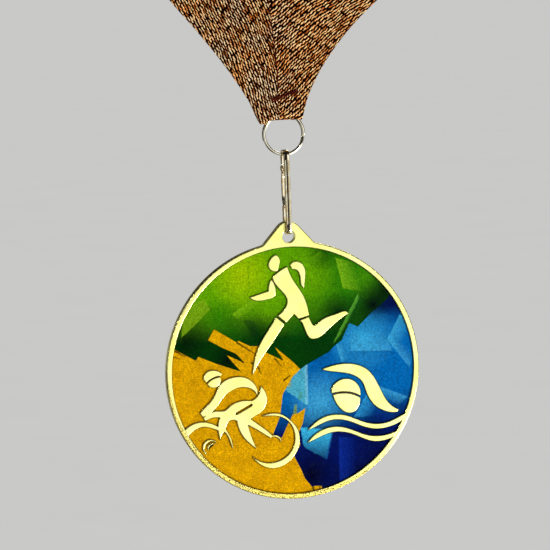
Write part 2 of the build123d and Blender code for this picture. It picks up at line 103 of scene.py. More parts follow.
def make_camera():
    azimuth, elevation = radians(CAMERA_AZIMUTH), radians(CAMERA_ELEVATION)
    towards = Vector((sin(azimuth) * cos(elevation), -cos(azimuth) * cos(elevation), sin(elevation)))
    level = towards.to_track_quat("Z", "Y").to_matrix()
    roll = radians(CAMERA_ROLL)
    across = level.col[0] * cos(roll) - level.col[1] * sin(roll)
    upward = level.col[1] * cos(roll) + level.col[0] * sin(roll)
    data = bpy.data.cameras.new("camera")
    data.lens = LENS
    data.sensor_width = SENSOR
    data.clip_start = 0.01
    data.clip_end = 200
    camera = bpy.data.objects.new("camera", data)
    bpy.context.scene.collection.objects.link(camera)
    aim = at(0, 0, -DISC_T / 2) + (across * VIEW_SHIFT[0] + upward * VIEW_SHIFT[1]) * MM
    camera.location = aim + towards * VIEW_WIDTH * MM * LENS / SENSOR
    camera.rotation_euler = Matrix((across, upward, towards)).transposed().to_euler()
    bpy.context.scene.camera = camera


make_camera()

# --- Materials ----------------------------------------------------------------------------------


def linear(red, green, blue):
    """A colour named by its 0 to 255 screen values, as the shaders want it."""
    shares = [value / 255 for value in (red, green, blue)]
    return tuple(v / 12.92 if v <= 0.04045 else ((v + 0.055) / 1.055) ** 2.4 for v in shares) + (1.0,)


class Surface:
    """A material being built. Each method adds nodes and gives back the socket to read."""

    def __init__(self, name):
        self.material = bpy.data.materials.new(name)
        self.material.use_nodes = True
        self.tree = self.material.node_tree
        self.shader = self.tree.nodes["Principled BSDF"]

    def add(self, kind, **settings):
        node = self.tree.nodes.new("ShaderNode" + kind)
        for name, value in settings.items():
            setattr(node, name, value)
        return node

    def feed(self, socket, value):
        if isinstance(value, bpy.types.NodeSocket):
            self.tree.links.new(value, socket)
        else:
            socket.default_value = value

    def set(self, **values):
        """Sets the shader's own sockets: base_color=..., roughness=..."""
        for name, value in values.items():
            self.feed(self.shader.inputs[name.replace("_", " ").title().replace("Ior", "IOR")], value)

    def math(self, operation, *values, clamp=False):
        node = self.add("Math", operation=operation, use_clamp=clamp)
        for socket, value in zip(node.inputs, values):
            self.feed(socket, value)
        return node.outputs[0]

    def vector(self, operation, *values):
        node = self.add("VectorMath", operation=operation)
        for socket, value in zip(node.inputs, values):
            self.feed(socket, value)
        return node.outputs["Value" if operation in ("DOT_PRODUCT", "LENGTH") else "Vector"]

    def span(self, value, low, high, start=0.0, end=1.0):
        """value taken from low..high to start..end, and held at the ends."""
        node = self.add("MapRange", clamp=True)
        for name, number in (("From Min", low), ("From Max", high), ("To Min", start), ("To Max", end)):
            self.feed(node.inputs[name], number)
        self.feed(node.inputs["Value"], value)
        return node.outputs["Result"]

    def mix(self, share, first, second, how="MIX"):
        node = self.add("Mix", data_type="RGBA", blend_type=how)
        for socket, value in ((node.inputs[0], share), (node.inputs[6], first), (node.inputs[7], second)):
            self.feed(socket, value)
        return node.outputs[2]

    def split(self, vector):
        node = self.add("SeparateXYZ")
        self.feed(node.inputs[0], vector)
        return node.outputs

    def join(self, x, y, z):
        node = self.add("CombineXYZ")
        for socket, value in zip(node.inputs, (x, y, z)):
            self.feed(socket, value)
        return node.outputs[0]

    def noise(self, place, scale, detail=2.0, roughness=0.5):
        node = self.add("TexNoise")
        self.feed(node.inputs["Vector"], place)
        node.inputs["Scale"].default_value = scale
        node.inputs["Detail"].default_value = detail
        node.inputs["Roughness"].default_value = roughness
        return node.outputs["Fac"]

    def cells(self, place, scale):
        """A random number and a random colour for each small cell."""
        node = self.add("TexVoronoi", feature="F1")
        self.feed(node.inputs["Vector"], place)
        node.inputs["Scale"].default_value = scale
        return node.outputs["Color"]

    def random(self, place):
        node = self.add("TexWhiteNoise", noise_dimensions="3D")
        self.feed(node.inputs["Vector"], place)
        return node.outputs["Value"]

    def millimetres(self):
        """Where a point is on the object at rest: x and height from the disc's middle, and depth."""
        node = self.add("TexCoord")
        moved = self.vector("SUBTRACT", node.outputs["Object"], tuple(at(0, 0)))
        return self.scaled(moved, 1 / MM)

    def scaled(self, vector, factor):
        node = self.add("VectorMath", operation="SCALE")
        self.feed(node.inputs[0], vector)
        self.feed(node.inputs["Scale"], factor)
        return node.outputs["Vector"]

    def rounded(self, radius):
        """The surface's direction with its corners eased over radius millimetres."""
        node = self.add("Bevel", samples=6)
        node.inputs["Radius"].default_value = radius * MM
        return node.outputs["Normal"]

    def bevelled(self, radius, strength):
        """The eased direction pushed further over, and how far it leans at each spot."""
        flat = self.add("NewGeometry").outputs["True Normal"]
        lean = self.vector("SUBTRACT", self.rounded(radius), flat)
        over = self.vector("ADD", flat, self.scaled(lean, strength))
        return self.vector("NORMALIZE", over), self.vector("LENGTH", lean)

    def openness(self, reach):
        """1 in the open and about a half in a corner that is closed within reach millimetres."""
        node = self.add("AmbientOcclusion", samples=6)
        node.inputs["Distance"].default_value = reach * MM
        return node.outputs["AO"]

    def bump(self, height, distance, strength=1.0, under=None):
        """Roughens the shader's surface, or the direction under. distance is in millimetres."""
        node = self.add("Bump")
        node.inputs["Strength"].default_value = strength
        node.inputs["Distance"].default_value = distance * MM
        self.feed(node.inputs["Height"], height)
        if under is not None:
            self.feed(node.inputs["Normal"], under)
        self.feed(self.shader.inputs["Normal"], node.outputs[0])


def half_plane(surface, place, start, end, soft):
    """1 to the left of the line from start to end as the medal is looked at, blurred over soft."""
    run, rise = end[0] - start[0], end[1] - start[1]
    length = hypot(run, rise)
    normal = (-rise / length, 0.0, run / length)
    offset = start[0] * normal[0] + start[1] * normal[2]
    distance = surface.vector("DOT_PRODUCT", place, normal)
    return surface.math("MULTIPLY_ADD", distance, 1 / soft, 0.5 - offset / soft, clamp=True)


FACET_BLUR = 0.3


def facet(surface, place, corners, reach=None):
    """1 inside the convex shape whose corners are given anticlockwise.

    With a reach it is brightest along its first edge and has faded away reach from it.
    """
    inside = None
    for start, end in zip(corners, corners[1:] + corners[:1]):
        edge = half_plane(surface, place, start, end, FACET_BLUR)
        inside = edge if inside is None else surface.math("MULTIPLY", inside, edge)
    if reach:
        depth = half_plane(surface, place, corners[0], corners[1], 2 * reach)
        inside = surface.math("MULTIPLY", inside, surface.span(depth, 0.5, 1.0, 1.0, 0.0))
    return inside


def lay(surface, place, colour, shapes):
    """Lays tinted facets over a colour, in order: (corners, reach, strength, tint)."""
    for corners, reach, strength, tint in shapes:
        share = surface.math("MULTIPLY", facet(surface, place, corners, reach=reach), strength)
        colour = surface.mix(share, colour, linear(*tint))
    return colour


def shade_spots(surface, place, colour, spots):
    """Soft round patches of another tint: (middle, reach, strength, tint)."""
    for middle, reach, strength, tint in spots:
        share = surface.math("MULTIPLY", blot(surface, place, middle, reach), strength)
        colour = surface.mix(share, colour, linear(*tint))
    return colour


def line(start, end, width):
    """The four corners of a stroke that narrows to a point at its end."""
    run, rise = end[0] - start[0], end[1] - start[1]
    length = hypot(run, rise)
    aside = (-rise / length * width / 2, run / length * width / 2)
    return (
        (start[0] - aside[0], start[1] - aside[1]), (end[0] - aside[0] / 3, end[1] - aside[1] / 3),
        (end[0] + aside[0] / 3, end[1] + aside[1] / 3), (start[0] + aside[0], start[1] + aside[1]),
    )


def blot(surface, place, middle, reach):
    """1 at middle, fading to 0 at reach."""
    away = surface.vector("SUBTRACT", place, (middle[0], 0.0, middle[1]))
    flat = surface.vector("MULTIPLY", away, (1.0, 0.0, 1.0))
    return surface.span(surface.vector("LENGTH", flat), 0.0, reach, 1.0, 0.0)


# The rim's darker, pitted stretch: the way it faces from the disc's middle, and how wide it grows.
PITTED_TOWARDS = (-0.36, -0.94)
PITTED_W = 1.9


def gold_plate():
    """Pale satin plate, darker, pitted and speckled round the lower edge."""
    s = Surface("gold_plate")
    place = s.millimetres()
    grain = s.noise(place, 2.6, 3.0, 0.6)
    fine = s.noise(place, 3.4, 3.0, 0.7)
    cloud = s.noise(place, 0.16, 2.0)
    tone = s.mix(s.span(cloud, 0.35, 0.65), linear(255, 250, 164), linear(255, 249, 140))
    tone = s.mix(s.span(grain, 0.58, 0.74, 0.0, 0.3), tone, linear(244, 230, 112))
    x, _, height = s.split(place)
    radius = s.math("SQRT", s.math("ADD", s.math("MULTIPLY", x, x), s.math("MULTIPLY", height, height)))
    aside = s.math("MULTIPLY", x, PITTED_TOWARDS[0] / DISC_R)
    towards = s.math("ADD", aside, s.math("MULTIPLY", height, PITTED_TOWARDS[1] / DISC_R))
    inner = s.math("MULTIPLY_ADD", s.span(towards, 0.15, 1.0), -PITTED_W, DISC_R + 0.1)
    on_rim = s.span(s.math("SUBTRACT", radius, inner), -0.1, 0.3)
    rough = s.math("MULTIPLY", on_rim, s.span(towards, 0.05, 0.3))
    # Towards the lower edge the rim is coloured darker with dark specks, and the bump sinks the specks in as
    # pits.
    tone = s.mix(s.math("MULTIPLY", rough, 0.55), tone, linear(226, 196, 74))
    pits = s.math("MULTIPLY", rough, s.span(fine, 0.48, 0.56))
    tone = s.mix(pits, tone, linear(72, 58, 12))
    edge, lean = s.bevelled(0.28, 1.8)
    satin = s.span(grain, 0.3, 0.8, 0.26, 0.4)
    polish = s.span(lean, 0.05, 0.25, 1.0, 0.4)
    s.set(base_color=tone, metallic=1.0, roughness=s.math("MULTIPLY", satin, polish))
    relief = s.math("MULTIPLY_ADD", grain, 0.5, s.math("MULTIPLY", fine, 0.3))
    s.bump(s.math("MULTIPLY_ADD", pits, -2.0, relief), 0.012, 0.6, under=edge)
    return s.material


def enamel(name, paint):
    """Painted fill: paint(s, place) gives the colour, and every fill has the same sandy grain and a painted
    shade line along the raised metal.
    """
    s = Surface(name)
    place = s.millimetres()
    wander = s.add("TexNoise")
    s.feed(wander.inputs["Vector"], place)
    wander.inputs["Scale"].default_value = 1.3
    wander.inputs["Detail"].default_value = 3.0
    shift = s.scaled(s.vector("SUBTRACT", wander.outputs["Color"], (0.5, 0.5, 0.5)), 0.5)
    colour = paint(s, s.vector("ADD", place, shift))
    sand = s.noise(place, 2.6, 2.0, 0.8)
    grain = s.split(s.cells(place, 4.4))
    shade = s.math("ADD", s.span(sand, 0.3, 0.7, -0.1, 0.07), s.span(grain[0], 0.0, 1.0, -0.36, 0.32))
    colour = s.scaled(colour, s.math("ADD", 1.0, shade))
    # Painted glints: small bright specks added into the fill's colour as highlights.
    glint = s.span(s.math("ADD", grain[1], s.math("MULTIPLY", sand, 0.4)), 1.04, 1.2, 0.0, 0.012)
    painted_glints = s.join(s.math("MULTIPLY", glint, 0.6), glint, s.math("MULTIPLY", glint, 0.5))
    colour = s.mix(1.0, colour, painted_glints, "ADD")
    # Painted shade: the fill is darkened where raised metal closes over it, a dark line round the figures
    # and inside the rim.
    colour = s.scaled(colour, s.span(s.openness(0.65), 0.56, 0.83, 0.0, 0.97))
    s.set(base_color=colour, metallic=0.0, roughness=s.span(sand, 0.3, 0.7, 0.4, 0.6))
    s.set(specular_ior_level=0.01)
    s.bump(s.math("ADD", grain[2], sand), 0.008, 0.4)
    return s.material


def paint_green(s, place):
    x, _, height = s.split(place)
    colour = s.mix(s.span(x, -3.0, 16.0), linear(90, 154, 0), linear(34, 110, 2))
    colour = s.mix(s.span(height, 21.0, 9.0), colour, linear(2, 54, 4))
    colour = s.mix(s.span(x, 20.0, 30.0), colour, linear(4, 44, 6))
    colour = shade_spots(s, place, colour, (
        ((-13.0, 27.0), 10.0, 0.85, (158, 186, 0)), ((-20.0, 16.0), 6.0, 0.6, (20, 112, 0)),
        ((-6.0, 18.0), 6.0, 0.6, (100, 160, 0)), ((5.0, 26.0), 8.0, 0.7, (104, 160, 0)),
        ((1.5, 11.5), 4.0, 0.6, (10, 84, 6)), ((9.5, 31.0), 5.0, 0.95, (4, 66, 2)),
        ((20.5, 23.0), 6.0, 0.7, (70, 140, 4)), ((22.8, 16.5), 8.0, 1.0, (0, 6, 8)),
        ((13.0, 15.0), 6.0, 0.95, (0, 26, 6)), ((26.5, 20.0), 5.0, 0.9, (0, 20, 4)),
        ((7.0, 7.0), 7.0, 0.6, (0, 44, 6)), ((-29.0, 9.5), 8.0, 0.95, (0, 22, 2)),
        ((-18.0, 4.0), 6.0, 0.95, (0, 10, 4)), ((-9.5, 10.5), 6.0, 0.9, (0, 44, 4)),
        ((-16.5, 11.0), 5.0, 0.6, (4, 80, 4)),
    ))
    return lay(s, place, colour, (
        (((-22.3, 18.1), (-24.0, 21.0), (-29.5, 18.0), (-30.5, 11.0), (-27.6, 13.2)),
         None, 0.75, (118, 160, 16)),
        (((-11.6, 30.6), (-11.6, 22.0), (-11.2, 22.0), (-11.2, 31.0)), None, 0.35, (60, 136, 0)),
        (((-10.8, 20.1), (-16.2, 16.3), (-12.0, 12.5), (-4.0, 15.0)), 2.6, 0.8, (118, 172, 14)),
        (((8.6, 31.8), (4.3, 29.2), (5.0, 24.0), (12.5, 24.0), (12.5, 29.5)), 2.6, 0.5, (90, 150, 6)),
        (((12.8, 29.8), (14.6, 21.4), (20.0, 20.2), (19.6, 27.6)), 5.0, 0.75, (122, 176, 22)),
        (((11.4, 6.7), (16.4, 13.0), (20.4, 17.2), (18.6, 19.4), (16.0, 14.9)), None, 0.85, (16, 70, 10)),
        (((18.6, 19.6), (15.9, 14.9), (11.3, 6.7), (13.2, 8.4), (19.2, 18.4)), 1.5, 0.9, (84, 158, 46)),
        (((-13.4, 14.6), (-10.2, 8.6), (-8.6, 9.2), (-10.4, 14.2)), None, 0.5, (4, 44, 8)),
    ))


def paint_amber(s, place):
    cloud = s.noise(place, 0.25, 2.0)
    colour = s.mix(s.span(cloud, 0.35, 0.65), linear(202, 146, 0), linear(216, 160, 0))
    strokes = (
        ((-32.4, 7.5), (-29.2, 5.7), 0.5), ((-33.0, 6.0), (-31.0, 5.2), 0.35),
        ((-15.4, 8.7), (-10.2, 5.1), 0.55), ((-11.6, 3.0), (-10.4, 2.0), 0.6),
        ((-10.2, 2.4), (-8.8, -0.4), 0.6), ((-4.2, 4.8), (-2.8, 3.0), 0.8),
        ((-5.2, 3.7), (-3.2, 1.4), 0.5), ((-16.6, 5.4), (-13.6, 2.9), 0.8),
        ((-2.9, -2.8), (-1.0, -1.2), 0.6), ((4.0, -31.6), (4.7, -34.2), 0.7),
        ((6.6, -31.4), (5.6, -33.4), 0.4),
    )
    ink = tuple((line(*stroke), None, 0.92, (14, 18, 4)) for stroke in strokes)
    return lay(s, place, colour, ink)


def paint_blue(s, place):
    height = s.split(place)[2]
    colour = s.mix(s.span(height, -17.5, -8.0), linear(0, 14, 84), linear(0, 94, 164))
    colour = s.mix(s.span(height, 9.5, 16.0), colour, linear(0, 14, 78))
    colour = shade_spots(s, place, colour, (
        ((19.5, 7.5), 10.0, 0.9, (44, 150, 198)), ((7.0, -9.0), 9.0, 0.9, (58, 156, 200)),
        ((7.0, 3.4), 5.0, 0.6, (0, 70, 136)), ((31.0, -14.0), 8.0, 0.8, (0, 14, 80)),
        ((24.0, -14.5), 5.5, 0.8, (0, 26, 108)), ((4.0, -29.0), 9.0, 0.95, (0, 0, 20)),
        ((24.0, -27.0), 9.0, 0.9, (0, 2, 34)), ((29.5, 18.5), 6.0, 0.8, (0, 8, 54)),
        ((22.0, -17.5), 5.0, 0.8, (0, 4, 44)), ((24.5, 16.0), 3.6, 0.9, (0, 24, 50)),
        ((16.0, -32.0), 7.0, 0.95, (0, 0, 18)),
    ))
    return lay(s, place, colour, (
        (((16.0, 4.2), (27.8, 3.5), (26.4, 6.6), (22.5, 13.2), (16.4, 11.0)), 6.0, 0.4, (72, 172, 212)),
        (((27.8, 3.5), (16.0, 4.2), (14.8, 0.6), (27.0, 0.2)), 3.4, 0.5, (0, 84, 152)),
        (((30.4, 13.6), (26.4, 6.6), (32.4, -1.6), (35.0, 6.0)), 4.5, 0.75, (56, 160, 202)),
        (((26.4, 6.6), (28.2, 4.2), (32.4, -1.4), (34.0, 4.0)), 3.0, 0.55, (64, 162, 206)),
        (((12.1, 6.4), (13.4, 1.4), (16.2, 2.2), (15.6, 6.0)), 2.0, 0.6, (64, 168, 206)),
        (((3.4, 1.5), (-0.6, -1.0), (-3.2, -4.6), (3.2, -9.6)), None, 0.85, (72, 164, 184)),
        (((3.7, -9.6), (3.9, 1.4), (3.2, 1.4), (3.0, -9.4)), None, 0.55, (130, 200, 212)),
        (((31.6, -9.4), (22.4, -5.4), (23.0, -8.4), (29.0, -11.4)), 3.2, 0.7, (56, 154, 200)),
        (((20.2, -7.6), (16.4, -14.0), (21.0, -14.0), (25.0, -11.4)), 4.4, 0.7, (44, 146, 200)),
        (((10.2, -17.0), (1.4, -15.6), (2.0, -21.0), (8.0, -24.8)), 8.5, 0.95, (56, 178, 224)),
        (((10.2, -17.0), (8.0, -24.8), (8.4, -24.8), (10.6, -17.0)), None, 0.5, (30, 110, 190)),
        (((11.8, -19.0), (11.8, -32.0), (16.2, -31.0), (16.2, -19.6)), 5.0, 0.75, (8, 40, 140)),
        (((-3.2, -4.6), (-1.0, -6.0), (3.2, -9.6), (1.0, -13.0), (-5.6, -18.0), (-7.4, -16.4)),
         None, 0.85, (0, 60, 136)),
        (((-1.8, -0.8), (-1.9, -4.4), (-0.9, -4.6), (-0.5, -1.2)), None, 0.6, (150, 150, 20)),
        (((1.6, -5.9), (1.0, -7.8), (1.6, -8.2), (2.3, -6.1)), None, 0.5, (70, 140, 80)),
        (((0.0, -9.3), (-0.5, -12.0), (0.4, -12.2), (0.6, -9.4)), None, 0.75, (120, 150, 40)),
        (((10.3, -5.2), (10.3, -6.8), (17.3, -7.8), (17.3, -5.8), (14.0, -4.8)), None, 0.85, (140, 118, 84)),
    ))


def bright_plate(name, tone, shade, rough):
    """Polished plated wire, warmer in places."""
    s = Surface(name)
    cloud = s.noise(s.millimetres(), 0.5, 2.0)
    s.set(base_color=s.mix(s.span(cloud, 0.4, 0.7), tone, shade), metallic=1.0)
    s.set(roughness=s.span(cloud, 0.3, 0.7, rough * 0.8, rough * 1.2))
    return s


def clip_plate():
    """The clip's strip: each leg's face is crowned, with its ridge to one side."""
    s = bright_plate("clip_steel", linear(244, 236, 206), linear(214, 184, 120), 0.1)
    place = s.millimetres()
    x, depth, _ = s.split(place)
    from_ridge = s.math("SUBTRACT", x, s.span(depth, -0.2, 0.2, 0.22, -0.42))
    crown = s.math("MINIMUM", s.math("MULTIPLY", from_ridge, 0.24), s.math("MULTIPLY", from_ridge, -0.1))
    wear = s.noise(place, 1.6, 2.0)
    s.bump(s.math("MULTIPLY_ADD", wear, 0.03, crown), 1.0, 1.0, under=s.rounded(0.16))
    return s


# The ribbon, and the short woven floats that cover it.
RIBBON_W = 25.0
RIBBON_T = 0.8
HALF_T = RIBBON_T / 2
WEAVE_PITCH = 0.86
WEAVE_COURSE = 1.25
FLOAT_HALF_W = 0.23
FLOAT_HALF_L = 0.76
FLOAT_SLANT = 0.15
STRIP_MARGIN = 20.0
STRIP_L = 724.3
UV_SPAN = STRIP_L + 2 * STRIP_MARGIN


def weave_floats(s, across, along, shift):
    """One of the two sets of floats: how high each stands, and the numbers of its column and course."""
    course_at = s.math("ADD", s.math("DIVIDE", along, 2 * WEAVE_COURSE), shift)
    column_at = s.math("ADD", s.math("DIVIDE", across, WEAVE_PITCH), shift)
    course, column = s.math("FLOOR", course_at), s.math("FLOOR", column_at)
    nudge = s.math("MULTIPLY_ADD", s.random(s.join(column, course, 5.0 + shift)), 0.3, 0.35)
    down = s.math("MULTIPLY", s.math("SUBTRACT", s.math("FRACT", course_at), nudge), 2 * WEAVE_COURSE)
    side = s.math("MULTIPLY", s.math("SUBTRACT", s.math("FRACT", column_at), 0.5), WEAVE_PITCH)
    side = s.math("DIVIDE", s.math("MULTIPLY_ADD", down, FLOAT_SLANT, side), FLOAT_HALF_W)
    down = s.math("DIVIDE", down, FLOAT_HALF_L)
    spread = s.math("ADD", s.math("MULTIPLY", side, side), s.math("POWER", s.math("ABSOLUTE", down), 4.0))
    return s.math("SUBTRACT", 1.0, s.math("POWER", spread, 0.7), clamp=True), s.join(column, course, shift)


def ribbon_weave():
    """Courses of short copper floats over a near-black ground, each float its own tone, painted lighter at
    its crown as a highlight and darker on its flanks as shade.
    """
    s = Surface("ribbon_weave")
    uv = s.split(s.add("TexCoord").outputs["UV"])
    across = s.math("MULTIPLY", uv[0], RIBBON_W)
    along = s.math("MULTIPLY", uv[1], UV_SPAN)
    flat = s.join(across, along, 0.0)
    tremble = s.math("MULTIPLY", s.noise(flat, 1.1, 2.0), 0.7)
    wander = s.math("MULTIPLY_ADD", s.noise(flat, 0.1, 2.0), 1.8, tremble)
    column = s.math("ADD", across, wander)
    row = s.math("ADD", along, s.math("MULTIPLY", s.noise(flat, 0.16, 2.0), 2.0))
    first, first_own = weave_floats(s, column, row, 0.0)
    second, second_own = weave_floats(s, column, row, 0.5)
    above = s.math("GREATER_THAN", second, first)
    float_height = s.math("MAXIMUM", first, second)
    own_place = s.mix(above, first_own, second_own)
    own = s.random(own_place)
    own_tint = s.random(s.vector("ADD", own_place, (7.0, 3.0, 11.0)))
    patches = s.noise(flat, 0.13, 3.0)
    x = s.split(s.millimetres())[0]
    # copper: copper patches at random, and a painted reflection that makes the right arm more copper towards
    # +x.
    copper = s.math("MAXIMUM", s.span(patches, 0.42, 0.62, 0.1, 0.8), s.span(x, -2.0, 5.0, 0.0, 0.7))
    # Painted highlight and shade: each float is painted cream at its crown and darker on its flanks, by its
    # height.
    level = s.math("MULTIPLY", float_height, s.span(own, 0.0, 0.7, 0.5, 1.4))
    side = s.mix(copper, linear(150, 76, 30), linear(214, 108, 16))
    crown_highlight = s.mix(copper, linear(255, 230, 182), s.mix(own_tint, linear(255, 164, 62), linear(255, 232, 160)))
    colour = s.mix(s.span(level, 0.14, 0.46), linear(6, 1, 0), side)
    colour = s.mix(s.span(level, 0.46, 0.86), colour, crown_highlight)
    s.set(base_color=colour, metallic=s.span(float_height, 0.3, 0.7, 0.0, 0.06))
    s.set(roughness=s.span(own, 0.0, 1.0, 0.85, 0.98))
    s.set(specular_ior_level=0.03)
    fibre = s.noise(s.join(s.math("MULTIPLY", across, 9.0), s.math("MULTIPLY", along, 1.2), 0.0), 1.4, 2.0)
    s.bump(s.math("MULTIPLY_ADD", fibre, 0.15, float_height), 0.2, 1.0)
    return s.material


def sewing_thread():
    s = Surface("ribbon_thread")
    place = s.millimetres()
    twist = s.noise(s.vector("MULTIPLY", place, (1.0, 1.0, 3.0)), 2.4, 2.0)
    s.set(base_color=s.mix(s.span(twist, 0.35, 0.65), linear(30, 6, 2), linear(92, 22, 8)))
    s.set(roughness=0.6, specular_ior_level=0.05)
    s.bump(twist, 0.05, 0.8)
    return s.material


def floor_paint():
    s = Surface("floor")
    tone = s.mix(s.noise(s.millimetres(), 0.01), linear(246, 246, 244), linear(250, 250, 248))
    s.set(base_color=tone, roughness=0.85, specular_ior_level=0.0)
    return s.material


GOLD = gold_plate()
GREEN = enamel("green_enamel", paint_green)
AMBER = enamel("amber_enamel", paint_amber)
BLUE = enamel("blue_enamel", paint_blue)
RING_METAL = bright_plate("ring_steel", linear(252, 248, 226), linear(236, 224, 186), 0.1).material
CLIP_METAL = clip_plate().material
WEAVE = ribbon_weave()
THREAD = sewing_thread()

# --- Mesh helpers -------------------------------------------------------------------------------


# Corners sharper than this many degrees are shaded as corners.
SHARP_FROM = 50.0


def make_piece(name, points, faces, material, body):
    """A mesh from points in metres. It rides on a CAD body when one is given."""
    mesh = bpy.data.meshes.new(name)
    mesh.from_pydata([tuple(p) for p in points], [], faces)
    mesh.validate()
    mesh.polygons.foreach_set("use_smooth", [True] * len(mesh.polygons))
    mesh.set_sharp_from_angle(angle=radians(SHARP_FROM))
    mesh.materials.append(material)
    piece = bpy.data.objects.new(name, mesh)
    bpy.context.scene.collection.objects.link(piece)
    if body:
        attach(piece, body)
    return piece


def round_edges(piece, width):
    """Rounds every corner of 60 degrees or more by width millimetres."""
    bevel = piece.modifiers.new("round_edges", "BEVEL")
    bevel.width = width * MM
    bevel.segments = 2
    bevel.limit_method = "ANGLE"
    bevel.angle_limit = radians(60)
    bevel.use_clamp_overlap = False
    bevel.miter_outer = "MITER_ARC"
    normals = piece.modifiers.new("flat_faces_stay_flat", "WEIGHTED_NORMAL")
    normals.weight = 100


def refined(node, name, width, material, body):
    """A CAD node again, with its flat faces whole and its corners rounded."""
    work = bmesh.new()
    work.from_mesh(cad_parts[node].data)
    bmesh.ops.remove_doubles(work, verts=work.verts, dist=0.002 * MM)
    bmesh.ops.dissolve_limit(work, angle_limit=radians(0.6), verts=work.verts, edges=work.edges)
    points = [v.co.copy() for v in work.verts]
    work.verts.index_update()
    faces = [[v.index for v in face.verts] for face in work.faces]
    work.free()
    piece = make_piece(name, points, faces, material, body)
    round_edges(piece, width)
    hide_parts(node)
    return piece


def tube(path, radius, sides):
    """Points and faces of a round tube along a path in millimetres, with domed ends."""
    points, faces = [], []
    count = len(path)
    steps = [path[min(i + 1, count - 1)] - path[max(i - 1, 0)] for i in range(count)]
    rings = [(path[i], steps[i].normalized(), radius) for i in range(count)]
    dome, dome_r = radius * 0.45, radius * 0.55
    rings.insert(0, (path[0] - rings[0][1] * dome, rings[0][1], dome_r))
    rings.append((path[-1] + rings[-1][1] * dome, rings[-1][1], dome_r))
    side = rings[0][1].orthogonal().normalized()
    for centre, along, size in rings:
        side = (side - along * side.dot(along)).normalized()
        other = along.cross(side)
        for k in range(sides):
            turn = 2 * pi * k / sides
            points.append(centre + (side * cos(turn) + other * sin(turn)) * size)
    for i in range(len(rings) - 1):
        for k in range(sides):
            a, b = i * sides + k, i * sides + (k + 1) % sides
            faces.append((a, b, b + sides, a + sides))
    faces.append(tuple(reversed(range(sides))))
    faces.append(tuple(range(len(points) - sides, len(points))))
    return points, faces


def join_parts(parts):
    """Several (points, faces) pairs as one."""
    points, faces = [], []
    for more_points, more_faces in parts:
        shift = len(points)
        points.extend(more_points)
        faces.extend(tuple(i + shift for i in face) for face in more_faces)
    return points, faces


# --- Medal --------------------------------------------------------------------------------------


def make_medal():
    refined("medal_body", "medal_casting", 0.04, GOLD, "medal")
    for node, material in (("enamel_green", GREEN), ("enamel_amber", AMBER), ("enamel_blue", BLUE)):
        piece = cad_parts[node]
        piece.data.materials.clear()
        piece.data.materials.append(material)


# --- Split ring and clip ------------------------------------------------------------------------

WIRE_D = 0.85
# Degrees round from the +X side: where the wire starts, where it ends, and where it steps back.
COIL_FROM = -5.0
COIL_TO = 557.0
JOG = (322.0, 354.0)
COIL_STEPS = 187


def make_ring():
    low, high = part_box("split_ring")
    middle = height_of((low.z + high.z) / 2)
    radius = (high.x - low.x) / 2 / MM - WIRE_D / 2
    pitch = (high.y - low.y) / MM - WIRE_D
    path = []
    for step in range(COIL_STEPS + 1):
        turn = COIL_FROM + (COIL_TO - COIL_FROM) * step / COIL_STEPS
        back = pitch * ease(turn, *JOG)
        path.append(Vector((radius * cos(radians(turn)), back, middle + radius * sin(radians(turn)))))
    points, faces = tube(path, WIRE_D / 2, 20)
    placed = [at(p.x, p.z, p.y) for p in points]
    ring = make_piece("ring_coil", placed, faces, RING_METAL, "ring")
    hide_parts("split_ring")


def make_clip():
    refined("clip_body", "clip_frame", 0.14, CLIP_METAL, "clip")
    refined("clip_gate", "clip_leaf", 0.08, CLIP_METAL, "gate")
    refined("clip_rivet", "clip_pin", 0.06, CLIP_METAL, "clip")


# --- Ribbon -------------------------------------------------------------------------------------

ARM_ANGLE = 34.4
ARM_L = 150.0
FOLD_BOTTOM_H = 67.3
FOLD_BOTTOM_W = 11.8
CREASE_H = 73.0
SHOULDER_R = 35.0
NAPE_HALF_DEPTH = 100.0
NAPE_LEAN = 20.0
ARM_X = sin(radians(ARM_ANGLE))
ARM_Z = cos(radians(ARM_ANGLE))
ARM_START_X = FOLD_BOTTOM_W / 2 - RIBBON_W / 2 * ARM_Z
ARM_START_H = FOLD_BOTTOM_H + RIBBON_W / 2 * ARM_X
ARM_END_X = ARM_START_X + ARM_L * ARM_X
ARM_END_H = ARM_START_H + ARM_L * ARM_Z
LOOP_HALF_W = ARM_END_X + SHOULDER_R * ARM_X
INNER_FOOT_X = ARM_START_X - RIBBON_W / 2 * ARM_Z
CROTCH_H = ARM_START_H + RIBBON_W / 2 * ARM_X - INNER_FOOT_X / tan(radians(ARM_ANGLE))
SEAM_LEAN = 1.15
SEAM_BOW = 0.0027
# How the V's outer edges really hang: half width at the foot, its slope and its curve.
HUNG_EDGES = {1: (4.95, 0.238, 0.015), -1: (6.1, 0.5, 0.0062)}
# Between which heights the gathered V goes over into the straight one, for its seam and its edges.
SEAM_STRAIGHTENS = (97.0, 128.0)
EDGES_STRAIGHTEN = (94.0, 112.0)


def arm_half_w(height):
    return FOLD_BOTTOM_W / 2 + (height - FOLD_BOTTOM_H) * tan(radians(ARM_ANGLE))


def seam_x(height):
    """The seam bows to the wearer's right as it rises, and comes back to the middle high up."""
    rise = max(height - CREASE_H, 0)
    return -(SEAM_LEAN + SEAM_BOW * rise * rise) * (1 - ease(height, *SEAM_STRAIGHTENS))


def hang(x, height):
    """Where a point of the straight-sided V lies once the gathered end has drawn the arms in."""
    side = 1 if x > 0 else -1
    rise = height - FOLD_BOTTOM_H
    start, slope, curve = HUNG_EDGES[side]
    drawn = start + slope * rise + curve * rise * rise
    half = arm_half_w(height)
    edge = drawn + (half - drawn) * ease(height, *EDGES_STRAIGHTEN)
    middle = seam_x(height)
    return middle + x / half * (edge - side * middle)


